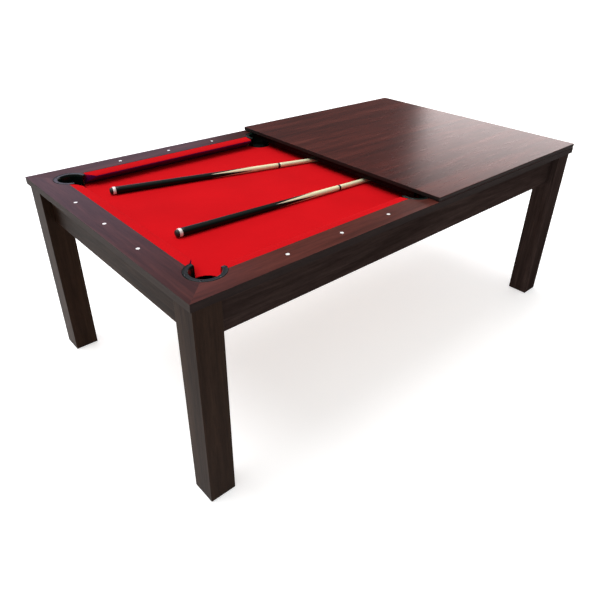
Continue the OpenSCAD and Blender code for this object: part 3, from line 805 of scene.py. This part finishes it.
def ball_basket(pocket):
    """Slotted moulded bucket with a collar. Its three lugs are a piece of their own."""
    x, y, away = POCKETS[pocket]
    depth = BOARD_BOTTOM - BASKET_BOTTOM
    heights = [BASKET_BOTTOM + level * depth / BASKET_LEVELS[-1] for level in BASKET_LEVELS]
    bm = bmesh.new()
    rows = []
    for z in heights:
        r = basket_radius(z) - BASKET_CLEAR
        rows.append([bm.verts.new(p) for p in circle(r, z, BASKET_STEPS)])
    for j, (a, b) in enumerate(zip(rows, rows[1:])):
        bridge(bm, a, b, slots=any(low <= j < high for low, high in SLOT_BANDS))
    centre_rows = [rows[0]]
    for f in (0.66, 0.33):
        r = (basket_radius(heights[0]) - BASKET_CLEAR) * f
        centre_rows.append([bm.verts.new(p) for p in circle(r, heights[0], BASKET_STEPS)])
    for a, b in zip(centre_rows, centre_rows[1:]):
        bridge(bm, a, b, slots=b is centre_rows[1])
    bm.faces.new(centre_rows[-1])
    bmesh.ops.recalc_face_normals(bm, faces=bm.faces)
    inside = Vector((0, 0, 0.69))
    if sum(f.normal.dot(f.calc_center_median() - inside) for f in bm.faces) < 0:
        bmesh.ops.reverse_faces(bm, faces=bm.faces)
    bmesh.ops.transform(bm, matrix=turned(x, y, away), verts=bm.verts)
    obj = finish_mesh("ball_basket_" + pocket, bm, 50)
    shell = obj.modifiers.new("wall", "SOLIDIFY")
    shell.thickness = BASKET_WALL
    shell.offset = -1
    soften(obj, 0.7 * MM)
    place(obj, "table", ["basket_" + pocket], MATERIALS["basket"], "basket_plastic")


LUG_ANGLES = [math.radians(a) for a in (130, 180, 230)]
LUG_HALF = 8 * MM


def basket_lugs(pocket):
    """The three lugs of a basket, each a plate with a round end and a web under it."""
    x, y, away = POCKETS[pocket]
    bm = bmesh.new()
    for angle in LUG_ANGLES:
        part = bmesh.new()
        start = COLLAR_R - 1.5 * MM
        outline = [(start, -LUG_HALF), (LUG_SCREW_R, -LUG_HALF)]
        outline += arc_points(LUG_SCREW_R, 0, LUG_HALF, -math.pi / 2, math.pi / 2, 10)[1:-1]
        outline += [(LUG_SCREW_R, LUG_HALF), (start, LUG_HALF)]
        low = [(px, py, BOARD_BOTTOM - 4 * MM) for px, py in outline]
        high = [(px, py, BOARD_BOTTOM - 0.05 * MM) for px, py in outline]
        sweep(part, [low, high], caps=True)
        web = []
        for x0, x1, z in ((-1, 1.5, BOARD_BOTTOM - 13 * MM), (0, 8, BOARD_BOTTOM - 3.9 * MM)):
            corners = ((x0, -1.5), (x1, -1.5), (x1, 1.5), (x0, 1.5))
            web.append([(start + px * MM, py * MM, z) for px, py in corners])
        sweep(part, web, caps=True)
        bmesh.ops.recalc_face_normals(part, faces=part.faces)
        bmesh.ops.transform(part, matrix=Matrix.Rotation(angle, 4, "Z"), verts=part.verts)
        merge(bm, part)
    bmesh.ops.transform(bm, matrix=turned(x, y, away), verts=bm.verts)
    obj = finish_mesh("basket_lugs_" + pocket, bm, 40)
    soften(obj, 0.5 * MM)
    place(obj, "table", ["basket_" + pocket], MATERIALS["basket"], "basket_plastic")


def merge(target, part):
    """Adds one bmesh to another."""
    mesh = bpy.data.meshes.new("part")
    part.to_mesh(mesh)
    part.free()
    target.from_mesh(mesh)
    bpy.data.meshes.remove(mesh)


# ---------------- screws and bolts
def recess_outline(kind, size):
    """Outline of a screw's driver recess, anticlockwise: a hexagon or a cross."""
    if kind == "hex":
        return [p.xy for p in circle(size, 0, 6)]
    arm = size * 0.28
    quarter = [(size, -arm), (size, arm), (arm, arm)]
    points = []
    for turn in range(4):
        c, s = math.cos(turn * math.pi / 2), math.sin(turn * math.pi / 2)
        points += [(c * px - s * py, s * px + c * py) for px, py in quarter]
    return points


SCREW_STEPS = 24
RECESS_PART = 0.62  # size of the recess as a part of the head's radius


def screw(head_r, head_h, shank_r, shank_l, kind, dome=0.0):
    """A screw mesh that points down from its head's top at z = 0, with a real driver recess."""
    bm = bmesh.new()
    recess = recess_outline(kind, head_r * RECESS_PART)
    rim_verts = [bm.verts.new(p) for p in circle(head_r * 0.86, 0, SCREW_STEPS)]
    top = [bm.verts.new((px, py, dome)) for px, py in recess]
    floor = [bm.verts.new((px * 0.8, py * 0.8, dome - head_h * 0.55)) for px, py in recess]
    edges = []
    for ring in (rim_verts, top):
        for i in range(len(ring)):
            edges.append(bm.edges.new((ring[i], ring[(i + 1) % len(ring)])))
    bmesh.ops.triangle_fill(bm, edges=edges, use_beauty=True)
    inner = [f for f in bm.faces if all(v in top for v in f.verts)]
    bmesh.ops.delete(bm, geom=inner, context="FACES_ONLY")
    bridge(bm, top, floor)
    bm.faces.new(floor)
    shape = [(head_r, -head_h * 0.3), (head_r, -head_h)]
    shape += [(shank_r, -head_h), (shank_r, -head_h - shank_l)]
    rings = [rim_verts]
    for r, z in shape:
        rings.append([bm.verts.new(p) for p in circle(r, z, SCREW_STEPS)])
    for a, b in zip(rings, rings[1:]):
        bridge(bm, a, b)
    bm.faces.new(rings[-1])
    bmesh.ops.recalc_face_normals(bm, faces=bm.faces)
    mesh = bpy.data.meshes.new("screw")
    bm.to_mesh(mesh)
    bm.free()
    return mesh


UPSIDE_DOWN = Matrix.Rotation(math.pi, 4, "X")


def screw_group(name, node, placed, material, slot):
    """One piece of many screws. placed is a list of (screw mesh, matrix)."""
    bm = bmesh.new()
    for mesh, matrix in placed:
        before = len(bm.verts)
        bm.from_mesh(mesh)
        bm.verts.ensure_lookup_table()
        bmesh.ops.transform(bm, matrix=matrix, verts=bm.verts[before:])
    obj = finish_mesh(name, bm, 30)
    place(obj, "table", [node], material, slot)


def make_screws():
    size = {"head_r": 3.8 * MM, "shank_r": 1.8 * MM, "kind": "cross"}
    rim_screw = screw(head_h=1.6 * MM, shank_l=18 * MM, dome=0.2 * MM, **size)
    lug_screw = screw(head_h=2.0 * MM, shank_l=15 * MM, dome=0.3 * MM, **size)
    placed = []
    for x, y, away in POCKETS.values():
        base = turned(x, y, away)
        for degrees in (-60, 0, 60):
            spot = polar(RIM_SCREW_R, math.radians(degrees), RIM_TOP - 0.6 * MM)
            placed.append((rim_screw, base @ Matrix.Translation(spot)))
        for angle in LUG_ANGLES:
            spot = polar(LUG_SCREW_R, angle, BOARD_BOTTOM - 6 * MM)
            placed.append((lug_screw, base @ Matrix.Translation(spot) @ UPSIDE_DOWN))
    screw_group("cross_screws", "pocket_screws", placed, MATERIALS["screw"], "black_steel")


def loose_boxes(obj):
    """Box of each separate solid of a CAD group, as (low, high) corners."""
    bm = bmesh.new()
    bm.from_mesh(obj.data)
    bmesh.ops.remove_doubles(bm, verts=bm.verts, dist=1e-5)
    seen, boxes = set(), []
    for start in bm.verts:
        if start in seen:
            continue
        stack, group = [start], []
        seen.add(start)
        while stack:
            v = stack.pop()
            group.append(v.co.copy())
            for e in v.link_edges:
                other = e.other_vert(v)
                if other not in seen:
                    seen.add(other)
                    stack.append(other)
        low = Vector([min(c[i] for c in group) for i in range(3)])
        high = Vector([max(c[i] for c in group) for i in range(3)])
        boxes.append((low, high))
    bm.free()
    return boxes


def make_bolts():
    bolt = screw(head_r=7 * MM, head_h=5 * MM, shank_r=3.5 * MM, shank_l=50 * MM, kind="hex")
    placed = []
    for low, high in loose_boxes(NODES["rail_bolts"]):
        middle = (low + high) / 2
        placed.append((bolt, Matrix.Translation((middle.x, middle.y, low.z)) @ UPSIDE_DOWN))
    screw_group("rail_bolt_set", "rail_bolts", placed, MATERIALS["steel"], "zinc_steel")
    cap = screw(head_r=5.5 * MM, head_h=4 * MM, shank_r=3 * MM, shank_l=3.5 * MM, kind="hex")
    placed = []
    for low, high in loose_boxes(NODES["bracket_bolts"]):
        size, middle = high - low, (low + high) / 2
        axis = 0 if size.x < size.y else 1
        inward = -math.copysign(1, middle[axis])
        head = middle.copy()
        head[axis] = (low if inward < 0 else high)[axis]
        direction = Vector((inward, 0, 0)) if axis == 0 else Vector((0, inward, 0))
        turn = direction.to_track_quat("Z", "X").to_matrix().to_4x4()
        placed.append((cap, Matrix.Translation(head) @ turn))
    screw_group("cap_screws", "bracket_bolts", placed, MATERIALS["steel"], "zinc_steel")


# ---------------- sights
SIGHT_HOLE = 0.001 * MM  # welded shut when the mesh is finished


def make_sights():
    """Slightly domed pearl discs, all in one piece."""
    bm = bmesh.new()
    for low, high in loose_boxes(NODES["rail_sights"]):
        middle, r = (low + high) / 2, (high.x - low.x) / 2
        part = bmesh.new()
        profile = [(SIGHT_HOLE, high.z + 0.1 * MM), (r * 0.6, high.z + 0.05 * MM),
                   (r * 0.9, high.z - 0.1 * MM), (r, high.z - 0.35 * MM),
                   (r, low.z), (SIGHT_HOLE, low.z)]
        lathe(part, profile, steps=32)
        bmesh.ops.transform(part, matrix=Matrix.Translation((middle.x, middle.y, 0)), verts=part.verts)
        merge(bm, part)
    obj = finish_mesh("pearl_sights", bm, 40)
    place(obj, "table", ["rail_sights"], MATERIALS["pearl"], "pearl")


# ---------------- levelling feet
PAD_TOP = 8 * MM
HALF_PITCH = 0.625 * MM
THREAD_CREST, THREAD_ROOT = 3.95 * MM, 3.35 * MM
AXIS_GAP = 0.01 * MM


def make_feet():
    """Rubber pad on a zinc screw with its jam nut, one piece with two materials."""
    for corner in CORNERS:
        node = "foot_" + corner
        low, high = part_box(node)
        middle = (low + high) / 2
        r = (high.x - low.x) / 2
        bm = bmesh.new()
        pad = [(AXIS_GAP, 0), (r - 2.5 * MM, 0), (r - 0.1 * MM, 2 * MM), (r - 0.8 * MM, 5 * MM),
               (14 * MM, 7 * MM), (12 * MM, PAD_TOP), (AXIS_GAP, PAD_TOP)]
        lathe(bm, rounded(pad, 0.8 * MM, closed=False))
        steel_from = len(bm.faces)
        thread_from = PAD_TOP + 1 * MM
        count = int((high.z - thread_from) / HALF_PITCH)
        flanks = (THREAD_CREST, THREAD_ROOT)
        thread = [(flanks[i % 2], thread_from + i * HALF_PITCH) for i in range(count)]
        stud = [(AXIS_GAP, PAD_TOP), (3.9 * MM, PAD_TOP), *thread, (AXIS_GAP, high.z)]
        lathe(bm, stud, steps=32)
        nut = [(4.0, 8.0), (6.6, 8.0), (7.3, 8.8), (7.3, 13.6), (6.6, 14.5), (4.0, 14.5)]
        lathe(bm, rounded([(r * MM, z * MM) for r, z in nut], 0.2 * MM, 2), steps=6)
        bm.faces.ensure_lookup_table()
        for face in bm.faces[steel_from:]:
            face.material_index = 1
        bmesh.ops.transform(bm, matrix=Matrix.Translation((middle.x, middle.y, low.z)), verts=bm.verts)
        obj = finish_mesh("levelling_" + corner, bm, 30)
        place(obj, node, [node], MATERIALS["rubber"], "foot_plastic")
        obj.data.materials.append(MATERIALS["steel"])


# ---------------- cues
# material and slot of each piece of a cue
CUE_PIECES = {
    "bumper": ("rubber", "cue_rubber"), "ring": ("white", "cue_white"), "butt": ("butt", "cue_butt"),
    "collar": ("collar", "cue_collar"), "shaft": ("maple", "cue_maple"),
    "ferrule": ("white", "cue_white"), "tip": ("tip", "cue_leather"),
}
# where each piece starts and stops, in millimetres from the butt end
CUE_MARKS = {"bumper": (0, 11), "ring": (11, 22), "butt": (22, 725), "collar": (725, 735),
             "shaft": (735, 1422), "ferrule": (1422, 1442), "tip": (1442, 1450)}
CUE_L = 1450
BUTT_R = 15.0
TIP_R = 6.25
CUE_EDGE = 0.25
CUE_STEPS = 48
RING_SPACING = 12


def cue_r(s):
    """Radius of a cue, in millimetres, s millimetres from the butt end."""
    return BUTT_R + (TIP_R - BUTT_R) * s / CUE_L


def cue_profile(part):
    """(distance, radius) points of one cue piece, in millimetres."""
    s0, s1 = CUE_MARKS[part]
    if part == "bumper":
        return [(0, 0.01), (0, 7.5), (0.6, 9.6), (2.2, 11.4), (5, 12.3), (8, 12.5), (11, 12.5)]
    if part == "tip":
        dome = ((s1 - s0, -0.05), (4, -0.1), (2.2, -1.1), (0.8, -3.2), (0, 0.01 - TIP_R))
        return [(s1 - back, TIP_R + r) for back, r in dome]
    count = max(2, int((s1 - s0) / RING_SPACING))
    between = [s0 + (s1 - s0) * i / count for i in range(1, count)]
    points = [(s0, cue_r(s0) - CUE_EDGE), (s0 + CUE_EDGE, cue_r(s0 + CUE_EDGE))]
    points += [(s, cue_r(s)) for s in between]
    points += [(s1 - CUE_EDGE, cue_r(s1 - CUE_EDGE)), (s1, cue_r(s1) - CUE_EDGE)]
    if part == "collar":
        middle = (s0 + s1) / 2
        groove = [(-0.9, 0), (-0.4, -0.35), (0.4, -0.35), (0.9, 0)]
        points = points[:2] + [(middle + s, cue_r(middle) + r) for s, r in groove] + points[-2:]
    return points


def make_cue(number):
    """One cue along the line between its CAD bumper and ferrule, piece by piece."""
    prefix = f"cue_{number}_"
    mid = {p: sum(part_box(prefix + p), Vector()) / 2 for p in ("bumper", "ferrule")}
    axis = (mid["ferrule"] - mid["bumper"]).normalized()
    start = mid["bumper"] - axis * (sum(CUE_MARKS["bumper"]) / 2 * MM)
    place_at = Matrix.Translation(start) @ axis.to_track_quat("Z", "Y").to_matrix().to_4x4()
    for part, (material, slot) in CUE_PIECES.items():
        profile = cue_profile(part)
        rings = [circle(r * MM, s * MM, CUE_STEPS) for s, r in profile]
        bm = bmesh.new()
        sweep(bm, rings, caps=True, uv=lambda row, col: (col / CUE_STEPS, profile[row][0] * MM))
        bmesh.ops.transform(bm, matrix=place_at, verts=bm.verts)
        obj = finish_mesh(f"turned_{prefix}{part}", bm, 50)
        place(obj, f"cue_{number}", [prefix + part], MATERIALS[material], slot)


# ---------------- stage
def soft_box(name, azimuth, elevation, distance, size, power, color):
    """A soft box that faces the table from an azimuth (0 along +X, 90 along +Y) and elevation."""
    target = Vector((0, 0, RAIL_TOP))
    el = math.radians(elevation)
    away = polar(math.cos(el), math.radians(azimuth), math.sin(el))
    data = bpy.data.lights.new(name, "AREA")
    data.shape = "RECTANGLE"
    data.size, data.size_y = size
    data.energy = power
    data.color = color
    box = new_object(name, data)
    box.location = target + away * distance
    box.rotation_euler = (target - box.location).to_track_quat("-Z", "Y").to_euler()
    box.visible_camera = False


FLOOR_HALF = 60
FLOOR_PALE = 0.72
FLOOR_GLOW = 0.58
BACKDROP_R, BACKDROP_H, BACKDROP_SEGMENTS = 58, 90, 48
WALLS, WALLS_UP_TO = 0.14, 0.45
CEILING, CEILING_FROM = 0.95, 0.95
SUN_STRENGTH = 2.4
SUN_FROM = Vector((-0.24, 0.36, 1.0))
SUN_ANGLE = math.radians(50)


def stage_piece(name, bm, pale, glow):
    """A matt floor or backdrop that also glows evenly."""
    mesh = bpy.data.meshes.new(name)
    bm.to_mesh(mesh)
    bm.free()
    mat, tree, shader = start_material(name)
    surface(tree, shader, {
        "Base Color": (pale,) * 3, "Roughness": 0.9, "Specular IOR Level": 0.0,
        "Emission Color": (1, 1, 1), "Emission Strength": glow,
    })
    mesh.materials.append(mat)
    obj = new_object(name, mesh)
    obj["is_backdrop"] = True
    return obj


def make_backdrop():
    """A white wall round the floor's edge that only the camera sees."""
    bm = bmesh.new()
    sweep(bm, [circle(BACKDROP_R, z, BACKDROP_SEGMENTS) for z in (0.0, BACKDROP_H)])
    wall = stage_piece("backdrop", bm, pale=0.0, glow=1.0)
    wall.visible_diffuse = wall.visible_glossy = wall.visible_shadow = False


def make_sky():
    """A dim room with a bright ceiling, as even light from the world."""
    world = bpy.data.worlds.new("world")
    bpy.context.scene.world = world
    world.use_nodes = True
    tree = world.node_tree
    direction = new_node(tree, "ShaderNodeTexCoord", {}, "Generated")
    height = new_node(tree, "ShaderNodeSeparateXYZ", {"Vector": direction}, "Z")
    stops = [(0.0, (WALLS,) * 3), (WALLS_UP_TO, (WALLS,) * 3), (CEILING_FROM, (CEILING,) * 3)]
    plug(tree, tree.nodes["Background"].inputs["Color"], ramp(tree, height, stops))


def make_stage():
    """Pale floor, even sky, a wide sun and two soft boxes."""
    bm = bmesh.new()
    bmesh.ops.create_grid(bm, x_segments=1, y_segments=1, size=FLOOR_HALF)
    stage_piece("floor", bm, pale=FLOOR_PALE, glow=FLOOR_GLOW)
    make_sky()
    sun = bpy.data.lights.new("sun", "SUN")
    sun.energy = SUN_STRENGTH
    sun.angle = SUN_ANGLE
    lamp = new_object("sun", sun)
    lamp.rotation_euler = SUN_FROM.to_track_quat("Z", "Y").to_euler()
    soft_box("right", azimuth=19, elevation=9, distance=6.0, size=(2.8, 2.0), power=58,
             color=(1.0, 0.90, 0.89))
    soft_box("back_left", azimuth=80, elevation=22, distance=5.0, size=(3.0, 2.0), power=25,
             color=(0.84, 0.71, 1.0))
    view = bpy.context.scene.view_settings
    view.view_transform = "Standard"
    view.look = "None"


# the photo's view: place in metres, turns, lens in millimetres, shift in frame widths
CAMERA_PLACE = Vector((-1.6582, -1.6876, 1.5890))
CAMERA_YAW = math.radians(46.891)
CAMERA_PITCH = math.radians(-30.957)
CAMERA_ROLL = math.radians(-1.467)
CAMERA_LENS = 33.35
CAMERA_SENSOR = 36
CAMERA_SHIFT = (-0.0187, -0.0290)


def make_camera():
    """The camera at the photo's viewing angle, turned by its yaw, pitch and roll."""
    forward = polar(math.cos(CAMERA_PITCH), CAMERA_YAW, math.sin(CAMERA_PITCH))
    right = forward.cross(Vector((0, 0, 1))).normalized()
    down = forward.cross(right)
    c, s = math.cos(CAMERA_ROLL), math.sin(CAMERA_ROLL)
    right, down = c * right + s * down, c * down - s * right
    turn = Matrix((right, -down, -forward)).transposed()
    data = bpy.data.cameras.new("camera")
    data.lens = CAMERA_LENS
    data.sensor_width = CAMERA_SENSOR
    data.shift_x, data.shift_y = CAMERA_SHIFT
    camera = new_object("camera", data)
    camera.matrix_world = Matrix.Translation(CAMERA_PLACE) @ turn.to_4x4()
    bpy.context.scene.camera = camera


# ---------------- build
make_camera()
make_stage()
make_backdrop()
carry_nodes()
make_cushions()
bed_cloth()
for pocket_name in POCKETS:
    pocket_liner(pocket_name)
    ball_basket(pocket_name)
    basket_lugs(pocket_name)
make_screws()
make_bolts()
make_sights()
make_feet()
make_cue(1)
make_cue(2)

boxes = {"cad": CAD_BOX, "visual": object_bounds()}
{name: [list(low), list(high)] for name, (low, high) in boxes.items()}
